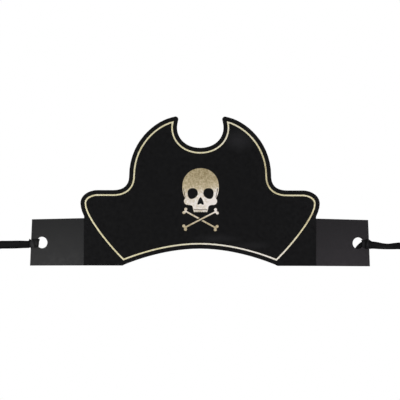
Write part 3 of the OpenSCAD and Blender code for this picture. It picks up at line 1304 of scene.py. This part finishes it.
@dataclass
class RibbonTie:
    """One ribbon tie: its turn through the hole, its knot, its short end and its free length."""

    flap: Flap
    knot_at: tuple[float, float, float] = (48.3, -2.7, 18.9)
    """Middle of the knot, in the flap's flat measure."""
    knot_reach: tuple[float, float] = (1.4, 4.0)
    """Half the knot's depth and half its height, in millimetres."""
    inside: float = 0.7
    """The share of its width that the ribbon spreads to inside the knot."""
    tied: float = 0.88
    """That share as it leaves the knot."""
    opening: float = 0.04
    """How much it grows from one station to the next."""
    spread: float = 0.98
    """That share where it hangs free."""
    wrap_steps: int = 16
    """Stations round each wrap of the knot."""
    wrap_width: tuple[float, float] = (0.47, 0.05)
    """The share of its width that a wrap spreads to, and how much that share varies."""
    wrap_crown: float = 0.42
    wrap_swell: float = 0.12
    """How far a wrap stands out of round, in millimetres."""
    wrap_twist: tuple[float, float] = (0.1, 0.12)
    """How far a wrap's width turns off the flap and off level, as slopes."""
    path_steps: int = 12
    # Points of the free ribbon's path from one station to the next.
    """Points of the free ribbon's declared path from one station to the next."""

    @property
    def side(self) -> Side:
        """Which end of the hat the tie is on."""
        return self.flap.side

    def tail_stations(self) -> list[Station]:
        """Works out where the free ribbon lies, from inside the knot to its cut end."""
        found = [Station(self.flap.point(*self.knot_at), Vector((0, 0, 1)), self.inside)]
        route = TAIL_ROUTES[self.side]
        places = [Vector(row[:3]) * MM for row in route]
        for i, (*_, turn) in enumerate(route):
            before, after = places[max(i - 1, 0)], places[min(i + 1, len(places) - 1)]
            along = (after - before).normalized()
            up = along.cross(Vector((0, 1, 0))).normalized()
            angle = math.radians(turn)
            wide = up * math.cos(angle) + along.cross(up) * math.sin(angle)
            mirror = Vector((self.side.value, 1, 1))
            gather = min(self.tied + self.opening * i, self.spread)
            found.append(Station(places[i] * mirror, wide * mirror, gather))
        return found

    def build(self, finish: bpy.types.Material) -> None:
        """Makes the tie's pieces and joins them to the flap's body.

        Args:
            finish: The ribbon's finish.
        """
        word = self.side.word
        loop = self.turn().build(finish)
        knot = self.knot(finish)
        stub = self.stub().build(finish)
        tail = self.free_ribbon(finish)
        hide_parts(f"{word}_tie_loop")
        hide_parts(f"{word}_tie_knot")
        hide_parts(f"{word}_tie_tail")
        for piece in (loop, knot, stub, tail):
            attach(piece, f"{word}_end")
            LOG.info("%s with %d faces", piece.name, len(piece.data.polygons))

    def turn(self) -> Ribbon:
        """Lays the turn through the hole and round the edge of the flap."""
        stations = [
            Station(self.flap.point(*row[:3]), self.flap.way(*row[3:6]), row[6], row[7])
            for row in LOOP_ROUTES[self.side]
        ]
        return Ribbon(f"{self.side.word}_ribbon_turn", stations, rows=6, pleats=2.0, wander=1.3)

    def stub(self) -> Ribbon:
        """Lays the short cut end round the edge of the flap and behind it."""
        stations = []
        for *place, lean, gather in STUB_ROUTES[self.side]:
            angle = math.radians(lean)
            wide = self.flap.way(math.sin(angle), 0, math.cos(angle))
            stations.append(Station(self.flap.point(*place), wide, gather))
        return Ribbon(f"{self.side.word}_ribbon_end", stations, rows=5, slant=0.7)

    def wrap_station(self, i: int, wrap: Numbers, step: int) -> Station:
        """Works out one station of a wrap of the knot.

        Args:
            i: Which wrap it is.
            wrap: The wrap's shift, lean, share of the knot's reach, and turns.
            step: Which of its stations it is.

        Returns:
            The station.
        """
        shift, lean, reach, turns = wrap
        angle = math.tau * turns * step / self.wrap_steps + math.pi / 2 + i
        deep, high = (r * reach for r in self.knot_reach)
        deep += self.wrap_swell * math.sin(3 * angle + i)
        up = high * math.sin(angle)
        along, behind, height = self.knot_at
        place = (along + shift + lean * up, behind + deep * math.cos(angle), height + up)
        off_flap, off_level = self.wrap_twist
        width, change = self.wrap_width
        return Station(
            self.flap.point(*place),
            self.flap.way(1, off_flap * math.cos(2 * angle), off_level * math.sin(angle)),
            width + change * math.sin(2 * angle + i),
            self.wrap_crown,
        )

    def knot(self, finish: bpy.types.Material) -> bpy.types.Object:
        """Makes the knot: two wraps of gathered ribbon, one half under the other.

        Args:
            finish: The ribbon's finish.

        Returns:
            The piece.
        """
        wraps = []
        for i, wrap in enumerate(KNOT_WRAPS[self.side]):
            stations = [self.wrap_station(i, wrap, step) for step in range(self.wrap_steps + 1)]
            ribbon = Ribbon(f"wrap_{i}", stations, rows=4, pleats=5.0, wander=1.7)
            wraps.append(ribbon.build(finish))
        with bpy.context.temp_override(
            active_object=wraps[0], selected_editable_objects=wraps, object=wraps[0]
        ):
            bpy.ops.object.join()
        wraps[0].name = f"{self.side.word}_knot_wraps"
        return wraps[0]

    def free_ribbon(
        self, finish: bpy.types.Material
    ) -> bpy.types.Object:
        """Args:
            finish: The ribbon's finish.

        Returns:
            The piece.
        """
        stations = self.tail_stations()
        ribbon = Ribbon(
            f"{self.side.word}_ribbon_tail", stations, rows=10, pleats=1.5, wander=2.0, slant=0.8
        )
        tail = ribbon.build(finish)
        samples = self.path_steps * (len(stations) - 1)
        path = [ribbon.place(i / samples, lambda s: s.at) for i in range(samples + 1)]
        return tail


def corners(box: tuple[Vector, Vector]) -> list[list[float]]:
    """Turns a box's two corners into plain lists."""
    return [list(corner) for corner in box]


def main() -> None:
    """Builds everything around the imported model."""
    logging.basicConfig(level=logging.INFO, format="%(message)s")
    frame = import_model()
    cad_box = corners(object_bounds())
    Viewpoint().place()
    effects = Effects(grain_group(), scuff_group(), glow_group())
    card = CardSheet(frame)
    satin = SatinFinish().make(effects)
    for side in Side:
        RibbonTie(card.flaps[side]).build(satin)
    card.dress(CardFinish().make(effects), CutEdgeFinish().make(effects))
    rolled = ROLLED_FOIL.make(effects)
    FoilStamp("foil_border").build(frame, BORDER_FOIL.make(effects), rolled)
    emblem = EMBLEM_FOIL.make(effects)
    for node in ("foil_skull", "foil_bone_over", "foil_bone_under"):
        FoilStamp(node).build(frame, emblem, rolled)
    Studio().build(cad_box[0][2])


if __name__ == "__main__":
    main()
